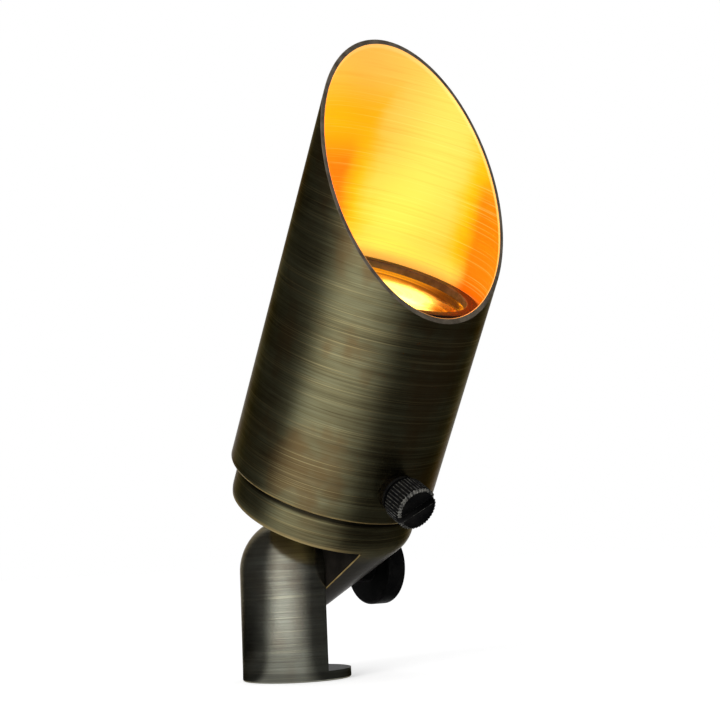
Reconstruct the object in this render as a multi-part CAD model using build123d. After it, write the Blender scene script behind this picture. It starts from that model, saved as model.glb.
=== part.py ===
from build123d import *
from math import cos, radians, sin, tau
import os

# Low-voltage accent light: a brass bullet head on a half-lap knuckle.
# Millimetres, +Z up.  The origin is the centre of the stem's bottom face.
# The knuckle pivot runs along +X, and the head leans forward, towards -Y.

# ---------------------------------------------------------------- sizes ----
# Half-lap stem
stem_radius = 16.0
foot_height = 2.8
foot_edge_round = 0.5
pivot_height = 31.5
lap_face_x = 0.5
stem_seat_depth = 13.0          # depth of the nipple socket in the foot
nipple_socket_radius = 4.46     # minor radius of an M10 x 1 lamp-nipple thread
wire_bore_radius = 2.4
wire_bore_wall = 1.9            # how far the wire bore breaks into the lap recess
wire_recess_inner = 5.2
wire_recess_outer = 8.6
wire_recess_depth = 6.0

# Lap seal, an O-ring between the two lap faces
lap_gap = 0.3
lap_seal_radius = 10.2
lap_seal_section = 0.8
seal_squeeze_gap = 0.05
groove_side_gap = 0.1

# Clamp screw: black knob on a steel stud, with one washer
stud_radius = 3.0
thread_clearance = 0.05
pivot_clearance = 0.08
stud_depth = 11.0               # stud length past the stem's lap face
stud_end_gap = 1.0
stud_tip_chamfer = 0.75
spot_face_x = 14.5
spot_face_radius = 7.0
clamp_washer_radius = 6.0
clamp_washer_thickness = 1.0
knob_radius = 11.5
knob_thickness = 6.4
knob_inner_x = 27.2
knob_neck_radius = 4.3
knob_edge_round = 0.8
knob_slot_width = 1.9
knob_slot_depth = 1.6
stud_grip = 4.5                 # stud length moulded into the knob

# Head: tilt at rest, and the offset of its axis from the stem's axis
head_tilt = 30.5
head_offset_x = 4.0

# Reflector lamp: 50 mm face, two-pin base.  The head is built round it.
lamp_radius = 24.7
lamp_rim_height = 5.0
lamp_wall = 1.6
lamp_height = 36.4              # rim to the bottom of the metal cup
lamp_neck_radius = 15.0
lamp_rim_flare = 4.7            # rim's outside to the cup's throat
lamp_web_thickness = 2.0
lamp_fin_count = 12
lamp_fin_width = 1.2
optic_thickness = 4.2
optic_rim_width = 0.45
optic_ring_count = 5
optic_ring_step = 0.8
optic_ramp_share = 0.8          # sloped share of each ring's pitch
optic_eye_radius = 8.6
optic_eye_rise = 1.1
eye_shoulder_reach = 0.7
eye_shoulder_rise = 0.6
board_radius = 11.5
board_thickness = 1.6
emitter_radius = 6.5
emitter_thickness = 1.4
plastic_base_radius = 10.4
plastic_base_height = 9.0
plastic_base_chamfer = 1.0
pin_radius = 0.75
pin_spacing = 5.3
pin_length = 7.0

# Lamp socket on its bridge, with screws and leads
socket_length = 19.0
socket_width = 10.0
socket_height = 11.0
socket_edge_round = 1.5
pin_hole_clearance = 0.05
pin_hole_extra = 1.0
bridge_thickness = 1.0
bridge_rise = 3.3               # clear height under the bridge
bridge_length = 34.0
bridge_foot_length = 6.0
bridge_window_radius = 4.6
socket_screw_spacing = 14.0
bridge_screw_spacing = 29.0
small_screw_radius = 1.5
small_screw_head_radius = 2.7
small_screw_head_height = 1.6
small_screw_length = 5.0
small_slot_width = 0.75
small_slot_depth = 0.8
small_hole_clearance = 0.1

# Lamp housing with its integral ear
lamp_side_gap = 0.5
lamp_front_gap = 0.3
housing_wall = 2.1
shoulder_height = 20.2          # milled shoulder, measured along the head from the pivot
housing_floor = 4.8
ear_end_radius = 12.3
ear_cone_angle = 32.2
ear_blend_radius = 8.0
ear_wire_bore_x = 7.0
ear_wire_bore_radius = 2.5
ear_cross_bore_radius = 1.7
spigot_step = 1.1
spigot_height = 6.0

# Shroud
shroud_gap = 1.45               # housing to the shroud's bore
shroud_wall = 1.25
shroud_setback = 10.9           # shoulder to the shroud's bottom edge
shroud_cut_rise = 30.6          # front ring to the slanted cut, on the shroud's axis
shroud_cut_angle = 46.7
shroud_slide_up = 12.0

# Shroud thumbscrew with its boss and washer
thumbscrew_setback = 10.5       # shroud's bottom edge to the thumbscrew
thumbscrew_radius = 6.25
thumbscrew_head_length = 7.5
thumbscrew_collar_radius = 4.9
thumbscrew_collar_length = 0.85
thumbscrew_shank_radius = 2.5
thumbscrew_tip_gap = 0.1
thumbscrew_chamfer = 0.7
slot_width = 1.9
slot_depth = 1.6
knurl_count = 40
knurl_depth = 0.35
boss_radius = 5.4
boss_height = 1.95
boss_spigot_radius = 4.0
boss_spigot_length = 1.25
screw_washer_radius = 5.6
screw_washer_thickness = 0.8
seat_clearance = 0.05

# Friction rings that carry the shroud, clear of the thumbscrew's travel
ring_low_margin = 1.3
ring_high_setback = 5.0
ring_groove_depth = 0.9
ring_width = 2.2
ring_crown_round = 0.55
ring_clearance = 0.05

# Front ring, lens and seals
front_ring_inset = 0.1
front_ring_lip = 2.17
front_ring_reach = 2.3          # how far the lip covers the lens
front_ring_chamfer = 0.5
front_ring_seat_gap = 0.03
ring_seal_section = 0.6
lens_side_gap = 0.3
lens_thickness = 3.1
lens_edge_chamfer = 0.3
lens_seal_thickness = 0.9
lens_seal_width = 2.1

# Leads and their sleeves
lead_radius = 0.8
lead_spacing = 1.7
lead_bend_radius = 2.0
grommet_flange_radius = 4.0
grommet_flange_thickness = 0.8
grommet_length = 6.0
grommet_hole_radius = 1.72

# ----------------------------------------------------------- worked out ----
# Across the knuckle
ear_face_x = lap_face_x + lap_gap
nipple_socket_x = (lap_face_x - stem_radius) / 2
wire_recess_radius = (wire_recess_inner + wire_recess_outer) / 2
wire_bore_x = lap_face_x - wire_recess_depth + wire_bore_wall - wire_bore_radius

# Round the head's axis, from the lamp outwards
housing_bore_radius = lamp_radius + lamp_side_gap
housing_radius = housing_bore_radius + housing_wall
spigot_radius = housing_radius - spigot_step
lens_radius = spigot_radius - lens_side_gap
lens_seal_inner = lens_radius - lens_seal_width
front_ring_radius = housing_radius - front_ring_inset
front_ring_opening = lens_radius - front_ring_reach
shroud_bore_radius = housing_radius + shroud_gap
shroud_radius = shroud_bore_radius + shroud_wall
boss_face = shroud_radius + boss_height
thumbscrew_collar_face = boss_face + screw_washer_thickness
thumbscrew_head_bottom = thumbscrew_collar_face + thumbscrew_collar_length
thumbscrew_face = thumbscrew_head_bottom + thumbscrew_head_length

# Along the head's axis, from the housing's floor up
floor_top = shoulder_height + housing_floor
bridge_bottom = floor_top + bridge_rise
socket_bottom = bridge_bottom + bridge_thickness
plastic_base_bottom = socket_bottom + socket_height
lamp_bottom = plastic_base_bottom + plastic_base_height
lamp_top = lamp_bottom + lamp_height
spigot_top = lamp_top + lamp_front_gap
housing_top = spigot_top - spigot_height
lens_bottom = spigot_top + lens_seal_thickness
lens_top = lens_bottom + lens_thickness
front_ring_seat = lens_top + front_ring_seat_gap
front_ring_top = front_ring_seat + front_ring_lip
front_ring_bottom = housing_top + 2 * ring_seal_section
shroud_bottom = shoulder_height + shroud_setback
shroud_cut_height = front_ring_top + shroud_cut_rise
thumbscrew_height = shroud_bottom + thumbscrew_setback
thumbscrew_highest = thumbscrew_height + shroud_slide_up + thumbscrew_shank_radius
ring_low_height = thumbscrew_highest + ring_low_margin + ring_width / 2
ring_high_height = housing_top - ring_high_setback
far = 4 * stem_radius + shroud_cut_height

# Places: the pivot, the leaning head frame, and the head's own axis in it
pivot = Pos(0, 0, pivot_height)
head = pivot * Rot(head_tilt, 0, 0)
head_axis = head * Pos(head_offset_x, 0, 0)


# -------------------------------------------------------------- helpers ----
def disc(radius, bottom, top):
    """Cylinder on the local Z axis between two heights."""
    return Pos(0, 0, bottom) * Cylinder(radius, top - bottom, align=(Align.CENTER, Align.CENTER, Align.MIN))


def tube(outer, inner, bottom, top):
    """Plain ring on the local Z axis."""
    return disc(outer, bottom, top) - disc(inner, bottom, top)


def x_disc(radius, start, end):
    """Cylinder on the local X axis between two places."""
    return Rot(0, 90, 0) * disc(radius, start, end)


def turned(outline):
    """Solid of revolution of a closed outline of (radius, height) points."""
    return revolve(Plane.XZ * make_face(Polyline(*outline, close=True)), Axis.Z)


def o_ring(radius, section, height):
    """Round seal on the local Z axis."""
    return Pos(0, 0, height) * Torus(radius, section)


def slot_cut(radius, width, depth, face):
    """Screwdriver slot across a face that looks along the local Z axis."""
    return Pos(0, 0, face - depth / 2) * Box(3 * radius, width, depth)


def cap_screw(length):
    """Small screw, head up, with its seat at local height zero."""
    head_part = disc(small_screw_head_radius, 0, small_screw_head_height)
    slot = slot_cut(small_screw_head_radius, small_slot_width, small_slot_depth, small_screw_head_height)
    return head_part - slot + disc(small_screw_radius, -length, 0)


# ----------------------------------------------------------------- stem ----
def make_stem():
    """Round bar with a domed top, milled to a half-lap above its foot."""
    bar = disc(stem_radius, 0, pivot_height) + pivot * Sphere(stem_radius)
    low_edges = bar.edges().filter_by(GeomType.CIRCLE).sort_by(Axis.Z)[:1]
    bar = chamfer(low_edges, foot_edge_round)
    lap_cut = Pos(lap_face_x + far / 2, 0, foot_height + far / 2) * Box(far, far, far)
    bar -= lap_cut

    bar -= pivot * x_disc(stud_radius + thread_clearance, lap_face_x - stud_depth - stud_end_gap, far)
    recess_floor = lap_face_x - wire_recess_depth
    recess = x_disc(wire_recess_outer, recess_floor, far) - x_disc(wire_recess_inner, recess_floor, far)
    bar -= pivot * recess
    half_groove = lap_seal_section + groove_side_gap
    groove_floor = ear_face_x - seal_squeeze_gap - 2 * lap_seal_section - seal_squeeze_gap
    groove = x_disc(lap_seal_radius + half_groove, groove_floor, far)
    groove -= x_disc(lap_seal_radius - half_groove, groove_floor, far)
    bar -= pivot * groove

    bar -= Pos(nipple_socket_x, 0, 0) * disc(nipple_socket_radius, 0, stem_seat_depth)
    bar -= Pos(wire_bore_x, 0, 0) * disc(wire_bore_radius, 0, pivot_height - wire_recess_radius)
    return bar


def make_stem_grommet():
    """Rubber sleeve where the lead enters the stem's wire bore."""
    sleeve = tube(wire_bore_radius, grommet_hole_radius, stem_seat_depth, stem_seat_depth + grommet_length)
    return Pos(wire_bore_x, 0, 0) * sleeve


def make_lap_seal():
    ring_x = ear_face_x - seal_squeeze_gap - lap_seal_section
    return pivot * Rot(0, 90, 0) * o_ring(lap_seal_radius, lap_seal_section, ring_x)


# ---------------------------------------------------------- clamp screw ----
def make_clamp_washer():
    washer = x_disc(clamp_washer_radius, spot_face_x, spot_face_x + clamp_washer_thickness)
    return pivot * (washer - x_disc(stud_radius + pivot_clearance, 0, far))


def make_clamp_knob():
    """Thick black disc on a narrower neck, slotted on its outer face."""
    outer_x = knob_inner_x + knob_thickness
    rim = x_disc(knob_radius, knob_inner_x, outer_x)
    rim = fillet(rim.edges().filter_by(GeomType.CIRCLE), knob_edge_round)
    neck = x_disc(knob_neck_radius, spot_face_x + clamp_washer_thickness, knob_inner_x)
    slot = Rot(0, 90, 0) * slot_cut(knob_radius, knob_slot_width, knob_slot_depth, outer_x)
    knob = rim + neck - slot - x_disc(stud_radius, 0, knob_inner_x + stud_grip - knob_slot_depth)
    return pivot * knob


def make_clamp_stud():
    stud = x_disc(stud_radius, lap_face_x - stud_depth, knob_inner_x + stud_grip - knob_slot_depth)
    return pivot * chamfer(stud.edges().filter_by(GeomType.CIRCLE).sort_by(Axis.X)[:1], stud_tip_chamfer)


# -------------------------------------------------------------- housing ----
def bullet_profile():
    """Half outline of the turned blank: round nose, cone, blend, barrel, spigot."""
    slope = radians(ear_cone_angle)
    nose_end = (ear_end_radius * cos(slope), -ear_end_radius * sin(slope))
    half_way = -slope / 2 - radians(45)
    nose_middle = (ear_end_radius * cos(half_way), ear_end_radius * sin(half_way))
    cone_top = (housing_radius * cos(slope) - ear_end_radius) / sin(slope)
    nose = ThreePointArc((0, -ear_end_radius), nose_middle, nose_end)
    sides = Polyline(nose_end, (housing_radius, cone_top), (housing_radius, housing_top),
                     (spigot_radius, housing_top), (spigot_radius, spigot_top), (0, spigot_top),
                     (0, -ear_end_radius))
    face = make_face([nose, *sides.edges()])
    corner = face.vertices().sort_by_distance((housing_radius, cone_top))[0]
    return fillet(corner, ear_blend_radius)


def make_housing():
    """Bullet-shaped cup whose lower cone is milled away on one side to leave the ear."""
    blank = Pos(head_offset_x, 0, 0) * revolve(Plane.XZ * bullet_profile(), Axis.Z)
    milled = Pos(ear_face_x - far / 2, 0, shoulder_height - far / 2) * Box(far, far, far)
    cup = blank - milled
    cup -= Pos(head_offset_x, 0, 0) * disc(housing_bore_radius, floor_top, far)

    cup -= x_disc(stud_radius + pivot_clearance, -far, far)
    cup -= x_disc(spot_face_radius, spot_face_x, far)
    cup -= Pos(ear_wire_bore_x, 0, 0) * disc(ear_wire_bore_radius, wire_recess_radius - ear_cross_bore_radius, far)
    cup -= Pos(0, 0, wire_recess_radius) * x_disc(ear_cross_bore_radius, -far, ear_wire_bore_x)

    groove_half = ring_width / 2 + groove_side_gap
    for height in (ring_low_height, ring_high_height):
        groove = tube(far, housing_radius - ring_groove_depth, height - groove_half, height + groove_half)
        cup -= Pos(head_offset_x, 0, 0) * groove
    for place in bridge_screw_places():
        cup -= Pos(head_offset_x, 0, 0) * place * disc(small_screw_radius, floor_top - small_screw_length
                                                       + bridge_thickness, floor_top)
    return head * cup


def make_friction_ring(height):
    """Square-section ring with a rounded crown that the shroud grips and slides on."""
    inner = housing_radius - ring_groove_depth + ring_clearance
    outer = shroud_bore_radius - ring_clearance
    ring = tube(outer, inner, height - ring_width / 2, height + ring_width / 2)
    crown = ring.edges().filter_by(GeomType.CIRCLE).group_by(SortBy.RADIUS)[-1]
    return head_axis * fillet(crown, ring_crown_round)


# --------------------------------------------------------------- shroud ----
def make_shroud():
    """Thin tube with a slanted mouth, highest at the back."""
    high = shroud_cut_height + 2 * shroud_radius
    sleeve = tube(shroud_radius, shroud_bore_radius, shroud_bottom, high)
    above_cut = Pos(0, 0, shroud_cut_height) * Rot(shroud_cut_angle, 0, 0) * Pos(0, 0, far / 2)
    sleeve -= above_cut * Box(far, far, far)
    sleeve -= thumbscrew_place() * disc(boss_spigot_radius + seat_clearance, 0, far)
    return head_axis * sleeve


def thumbscrew_place():
    """Frame on the shroud's axis whose Z points out along the thumbscrew."""
    return Pos(0, 0, thumbscrew_height) * Rot(90, 0, 0)


def make_shroud_boss():
    """Threaded brass boss, saddled on the shroud and brazed through its wall."""
    saddle = disc(boss_radius, shroud_bore_radius, boss_face)
    spigot = disc(boss_spigot_radius, shroud_radius - boss_spigot_length, boss_face)
    outside = thumbscrew_place().inverse() * disc(shroud_radius, 0, far)
    boss = (saddle - outside) + spigot
    boss -= disc(thumbscrew_shank_radius + thread_clearance, 0, far)
    return head_axis * thumbscrew_place() * boss


def make_screw_washer():
    hole_radius = thumbscrew_shank_radius + pivot_clearance
    return head_axis * thumbscrew_place() * tube(screw_washer_radius, hole_radius, boss_face,
                                                 thumbscrew_collar_face)


def make_thumbscrew():
    """Straight-knurled, slotted head on a collar and a shank that bears on the housing."""
    blank = disc(thumbscrew_radius, thumbscrew_head_bottom, thumbscrew_face)
    blank = chamfer(blank.edges().filter_by(GeomType.CIRCLE), thumbscrew_chamfer)
    tooth_angle = tau / knurl_count
    outline = []
    for tooth in range(knurl_count):
        for radius, share in ((thumbscrew_radius, 0.0), (thumbscrew_radius - knurl_depth, 0.5)):
            angle = (tooth + share) * tooth_angle
            outline.append((radius * cos(angle), radius * sin(angle)))
    star = Pos(0, 0, thumbscrew_head_bottom) * make_face(Polyline(*outline, close=True))
    head_part = blank & extrude(star, thumbscrew_head_length)
    head_part -= slot_cut(thumbscrew_radius, slot_width, slot_depth, thumbscrew_face)
    collar = disc(thumbscrew_collar_radius, thumbscrew_collar_face, thumbscrew_head_bottom)
    shank = disc(thumbscrew_shank_radius, housing_radius + thumbscrew_tip_gap, thumbscrew_head_bottom)
    return head_axis * thumbscrew_place() * (head_part + collar + shank)


# ---------------------------------------------------- front ring and lens ----
def make_front_ring():
    """Ring that screws over the housing's spigot and holds the lens down."""
    ring = tube(front_ring_radius, spigot_radius + thread_clearance, front_ring_bottom, front_ring_top)
    ring += tube(front_ring_radius, front_ring_opening, front_ring_seat, front_ring_top)
    top_edges = ring.edges().filter_by(GeomType.CIRCLE).group_by(Axis.Z)[-1]
    return head_axis * chamfer(top_edges, front_ring_chamfer)


def make_front_ring_seal():
    ring_radius = spigot_radius + ring_seal_section
    return head_axis * o_ring(ring_radius, ring_seal_section, housing_top + ring_seal_section)


def make_lens_seal():
    return head_axis * tube(lens_radius, lens_seal_inner, spigot_top, lens_bottom)


def make_lens():
    glass = disc(lens_radius, lens_bottom, lens_top)
    return head_axis * chamfer(glass.edges().filter_by(GeomType.CIRCLE), lens_edge_chamfer)


# ----------------------------------------------------------------- lamp ----
def make_lamp_cup():
    """Finned metal cup of the reflector lamp."""
    rim_bottom = lamp_top - lamp_rim_height
    board_seat = lamp_bottom + lamp_web_thickness
    pocket = board_radius + seat_clearance
    throat = lamp_radius - lamp_rim_flare
    wall_foot = pocket + lamp_wall
    wall_top = throat + lamp_wall
    cup = turned([(0, lamp_bottom), (wall_foot, lamp_bottom), (wall_top, rim_bottom), (lamp_radius, rim_bottom),
                  (lamp_radius, lamp_top), (0, lamp_top)])
    envelope = turned([(0, lamp_bottom), (lamp_neck_radius, lamp_bottom), (lamp_radius, rim_bottom),
                       (0, rim_bottom)])
    middle = Pos(0, 0, (lamp_bottom + rim_bottom) / 2)
    plate = middle * Box(2 * lamp_radius, lamp_fin_width, rim_bottom - lamp_bottom)
    for number in range(lamp_fin_count // 2):
        cup += envelope & (Rot(0, 0, 360 * number / lamp_fin_count) * plate)
    cup -= turned([(0, board_seat), (pocket, board_seat), (pocket, board_seat + board_thickness),
                   (throat, rim_bottom), (lamp_radius - lamp_wall, rim_bottom),
                   (lamp_radius - lamp_wall, lamp_top), (0, lamp_top)])
    return head_axis * cup


def make_lamp_board():
    board_seat = lamp_bottom + lamp_web_thickness
    return head_axis * disc(board_radius, board_seat, board_seat + board_thickness)


def make_lamp_emitter():
    bottom = lamp_bottom + lamp_web_thickness + board_thickness
    return head_axis * disc(emitter_radius, bottom, bottom + emitter_thickness)


def make_lamp_optic():
    """Moulded lens of the lamp: a raised eye inside concentric steps."""
    outer = lamp_radius - lamp_wall - seat_clearance
    rim = outer - optic_rim_width
    bottom = lamp_top - optic_thickness
    ring_top = lamp_top - optic_ring_step
    ring_dip = ring_top - optic_ring_step
    outline = [(0, bottom), (outer, bottom), (outer, lamp_top), (rim, lamp_top), (rim, ring_top)]
    pitch = (rim - optic_eye_radius) / optic_ring_count
    for number in range(optic_ring_count):
        crest = rim - number * pitch
        outline.append((crest - pitch * optic_ramp_share, ring_dip))
        outline.append((crest - pitch, ring_top))
    outline.append((optic_eye_radius * eye_shoulder_reach, ring_top + optic_eye_rise * eye_shoulder_rise))
    outline.append((0, ring_top + optic_eye_rise))
    return head_axis * turned(outline)


def make_lamp_base():
    base = disc(plastic_base_radius, plastic_base_bottom, lamp_bottom)
    return head_axis * chamfer(base.edges().filter_by(GeomType.CIRCLE).sort_by(Axis.Z)[:1], plastic_base_chamfer)


def pin_pair(radius, bottom, top):
    pair = Pos(-pin_spacing / 2, 0, 0) * disc(radius, bottom, top)
    return pair + Pos(pin_spacing / 2, 0, 0) * disc(radius, bottom, top)


def make_lamp_pins():
    return head_axis * pin_pair(pin_radius, plastic_base_bottom - pin_length, plastic_base_bottom)


# --------------------------------------------------------------- socket ----
def socket_screw_places():
    return [Pos(side * socket_screw_spacing / 2, 0, 0) for side in (-1, 1)]


def bridge_screw_places():
    return [Pos(side * bridge_screw_spacing / 2, 0, 0) for side in (-1, 1)]


def make_socket():
    """Ceramic two-pin socket."""
    body = Pos(0, 0, socket_bottom + socket_height / 2) * Box(socket_length, socket_width, socket_height)
    body = fillet(body.edges().filter_by(Axis.Z), socket_edge_round)
    body -= pin_pair(pin_radius + pin_hole_clearance, plastic_base_bottom - pin_length - pin_hole_extra, far)
    for place in socket_screw_places():
        body -= place * disc(small_screw_radius + small_hole_clearance, socket_bottom, far)
        body -= place * disc(small_screw_head_radius + small_hole_clearance,
                             plastic_base_bottom - small_screw_head_height - small_hole_clearance, far)
    return head_axis * body


def make_socket_bridge():
    """Bent steel bridge that lifts the socket off the housing floor."""
    half = bridge_length / 2
    step = half - bridge_foot_length
    top = socket_bottom
    low = floor_top
    thick = bridge_thickness
    outline = [(-half, low), (-step + thick, low), (-step + thick, top - thick), (step - thick, top - thick),
               (step - thick, low), (half, low), (half, low + thick), (step, low + thick), (step, top),
               (-step, top), (-step, low + thick), (-half, low + thick)]
    strip = Plane.XZ * make_face(Polyline(*outline, close=True))
    bridge = extrude(strip, socket_width / 2, both=True)
    bridge -= disc(bridge_window_radius, 0, far)
    for place in bridge_screw_places() + socket_screw_places():
        bridge -= place * disc(small_screw_radius + small_hole_clearance, 0, far)
    return head_axis * bridge


def make_socket_screws():
    """Two screws that hold the socket down on the bridge."""
    seat = plastic_base_bottom - small_screw_head_height - small_hole_clearance
    length = seat - bridge_bottom + bridge_thickness
    screws = [head_axis * place * Pos(0, 0, seat) * cap_screw(length) for place in socket_screw_places()]
    return Compound(children=screws)


def make_bridge_screws():
    """Two screws that hold the bridge's feet on the housing floor."""
    seat = floor_top + bridge_thickness
    screws = [head_axis * place * Pos(0, 0, seat) * cap_screw(small_screw_length)
              for place in bridge_screw_places()]
    return Compound(children=screws)


def make_floor_grommet():
    """Rubber sleeve where the leads leave the housing for the knuckle."""
    sleeve = disc(ear_wire_bore_radius, floor_top - grommet_length, floor_top)
    flange = disc(grommet_flange_radius, floor_top, floor_top + grommet_flange_thickness)
    hole = disc(grommet_hole_radius, 0, far)
    return head * Pos(ear_wire_bore_x, 0, 0) * (sleeve + flange - hole)


def make_socket_leads():
    """Two insulated leads from the socket through the ear to its lap face."""
    leads = []
    for side in (-1, 1):
        y = side * lead_spacing / 2
        start = (ear_wire_bore_x, y, socket_bottom)
        turn = (ear_wire_bore_x, y, wire_recess_radius)
        end = (ear_face_x, y, wire_recess_radius)
        path = FilletPolyline(start, turn, end, radius=lead_bend_radius)
        leads.append(head * sweep(Plane(start, z_dir=(0, 0, -1)) * Circle(lead_radius), path=path))
    return Compound(children=leads)


# --------------------------------------------------------------- export ----
parts = {
    "stem": make_stem(),
    "stem_grommet": make_stem_grommet(),
    "lap_seal": make_lap_seal(),
    "clamp_washer": make_clamp_washer(),
    "clamp_knob": make_clamp_knob(),
    "clamp_stud": make_clamp_stud(),
    "lamp_housing": make_housing(),
    "friction_ring_low": make_friction_ring(ring_low_height),
    "friction_ring_high": make_friction_ring(ring_high_height),
    "shroud": make_shroud(),
    "shroud_boss": make_shroud_boss(),
    "shroud_screw_washer": make_screw_washer(),
    "shroud_thumbscrew": make_thumbscrew(),
    "front_ring": make_front_ring(),
    "front_ring_seal": make_front_ring_seal(),
    "front_lens": make_lens(),
    "lens_seal": make_lens_seal(),
    "lamp_cup": make_lamp_cup(),
    "lamp_board": make_lamp_board(),
    "lamp_emitter": make_lamp_emitter(),
    "lamp_optic": make_lamp_optic(),
    "lamp_base": make_lamp_base(),
    "lamp_pins": make_lamp_pins(),
    "lamp_socket": make_socket(),
    "socket_bridge": make_socket_bridge(),
    "socket_screws": make_socket_screws(),
    "bridge_screws": make_bridge_screws(),
    "floor_grommet": make_floor_grommet(),
    "socket_leads": make_socket_leads(),
}

os.makedirs("parts", exist_ok=True)
for name, solid in parts.items():
    export_step(solid, f"parts/{name}.step")
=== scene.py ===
from math import atan2, cos, radians, sin, tan, tau

import bpy
from mathutils import Matrix, Vector


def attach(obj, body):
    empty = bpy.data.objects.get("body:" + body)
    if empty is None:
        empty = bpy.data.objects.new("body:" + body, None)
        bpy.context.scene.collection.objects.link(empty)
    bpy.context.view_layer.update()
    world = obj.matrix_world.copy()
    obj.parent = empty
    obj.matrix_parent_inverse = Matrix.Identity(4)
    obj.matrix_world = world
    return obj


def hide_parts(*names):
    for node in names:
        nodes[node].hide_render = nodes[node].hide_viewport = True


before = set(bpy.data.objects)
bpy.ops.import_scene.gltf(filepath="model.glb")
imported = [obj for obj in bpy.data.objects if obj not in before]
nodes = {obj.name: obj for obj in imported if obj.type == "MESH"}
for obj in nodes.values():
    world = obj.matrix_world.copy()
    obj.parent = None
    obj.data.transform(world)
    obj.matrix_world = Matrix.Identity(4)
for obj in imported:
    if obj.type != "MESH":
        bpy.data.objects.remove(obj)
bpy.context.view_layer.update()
MM = 0.001

# ------------------------------------------------------------------ sizes ----
# Sizes and places of the CAD's pieces, in millimetres
stem_radius = 16.0
foot_height = 2.8
pivot_height = 31.5
lap_face_x = 0.5
nipple_socket_x = -7.75
nipple_socket_radius = 4.46
nipple_socket_depth = 13.0
ear_face_x = 0.8
stud_hole_radius = 3.08
spot_face_x = 14.5
spot_face_radius = 7.0
knob_radius = 11.5
knob_inner_x = 27.2
knob_outer_x = 33.6
knob_neck_radius = 4.3
knob_neck_x = 15.5
knob_slot_width = 1.9
knob_slot_depth = 1.6
head_tilt = 30.5
head_offset_x = 4.0
housing_radius = 27.3
housing_bore_radius = 25.2
shoulder_height = 20.2
floor_top = 25.0
housing_top = 80.0
spigot_radius = 26.2
spigot_top = 86.0
ear_end_radius = 12.3
ear_cone_angle = 32.2
ear_blend_radius = 8.0
shroud_radius = 30.0
shroud_bore_radius = 28.75
shroud_bottom = 31.1
shroud_cut_height = 122.8
shroud_cut_angle = 46.7
thumbscrew_height = 41.6
thumbscrew_radius = 6.25
thumbscrew_face = 41.1
thumbscrew_head_bottom = 33.6
thumbscrew_collar_radius = 4.9
thumbscrew_collar_face = 32.75
thumbscrew_shank_radius = 2.5
thumbscrew_shank_tip = 27.4
thumbscrew_chamfer = 0.7
slot_width = 1.9
slot_depth = 1.6
knurl_count = 40
knurl_depth = 0.35
front_ring_radius = 27.2
front_ring_opening = 23.6
front_ring_bore_radius = 26.25
front_ring_bottom = 81.2
front_ring_seat = 90.03
front_ring_top = 92.2
lens_radius = 25.9
lens_bottom = 86.9
lens_top = 90.0
lamp_top = 85.7
optic_radius = 23.05
optic_thickness = 4.2
optic_rim_radius = 22.6
optic_eye_radius = 8.6
optic_ring_count = 5
optic_ring_step = 0.8

# The scene's own detail, in millimetres and degrees: the thumbscrew's slot is turned as in the photograph,
# its collar runs clear of the washer, and its slot and crown have worn edges
slot_turn = 34.5
contact_gap = 0.02
slot_edge = 0.14
crown_width = 1.3

# Places: each lathe piece is made about its own Z axis and put here
pivot_place = Matrix.Translation((0, 0, pivot_height * MM))
stem_place = Matrix.Identity(4)
head_place = pivot_place @ Matrix.Rotation(radians(head_tilt), 4, "X")
axis_place = head_place @ Matrix.Translation((head_offset_x * MM, 0, 0))
knob_place = pivot_place @ Matrix.Rotation(radians(90), 4, "Y")
screw_turn = Matrix.Rotation(radians(90), 4, "X")
screw_place = axis_place @ Matrix.Translation((0, 0, thumbscrew_height * MM)) @ screw_turn


# ----------------------------------------------------------------- meshes ----
def new_piece(name, points, faces, place, smooth_angle=32):
    """Mesh object from points in millimetres about its own axis, at a place in the row frame."""
    mesh = bpy.data.meshes.new(name)
    mesh.from_pydata([place @ Vector((x * MM, y * MM, z * MM)) for x, y, z in points], [], faces)
    mesh.validate()
    mesh.update()
    mesh.shade_smooth()
    mesh.set_sharp_from_angle(angle=radians(smooth_angle))
    piece = bpy.data.objects.new(name, mesh)
    bpy.context.scene.collection.objects.link(piece)
    return piece


def lathe(name, profile, place, segments=192, closed=True, smooth_angle=32, wave=None):
    """Turned piece from a (radius, height) profile, bottom to top outside.  Radius 0 makes a pole."""
    points = []
    rows = []
    for radius, height in profile:
        if radius < 1e-6:
            rows.append([len(points)])
            points.append((0, 0, height))
            continue
        row = []
        for step in range(segments):
            angle = tau * step / segments
            r = radius if wave is None else wave(radius, height, angle)
            row.append(len(points))
            points.append((r * cos(angle), r * sin(angle), height))
        rows.append(row)
    faces = []
    pairs = list(zip(rows, rows[1:]))
    if closed:
        pairs.append((rows[-1], rows[0]))
    for low, high in pairs:
        if len(low) == 1 and len(high) == 1:
            continue
        for step in range(segments):
            nxt = (step + 1) % segments
            if len(low) == 1:
                faces.append((low[0], high[nxt], high[step]))
            elif len(high) == 1:
                faces.append((low[step], low[nxt], high[0]))
            else:
                faces.append((low[step], low[nxt], high[nxt], high[step]))
    return new_piece(name, points, faces, place, smooth_angle)


def arc(centre, radius, start, end, steps):
    """Points of an arc in the profile plane, in degrees."""
    points = []
    for step in range(steps + 1):
        angle = radians(start + (end - start) * step / steps)
        points.append((centre[0] + radius * cos(angle), centre[1] + radius * sin(angle)))
    return points


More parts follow.
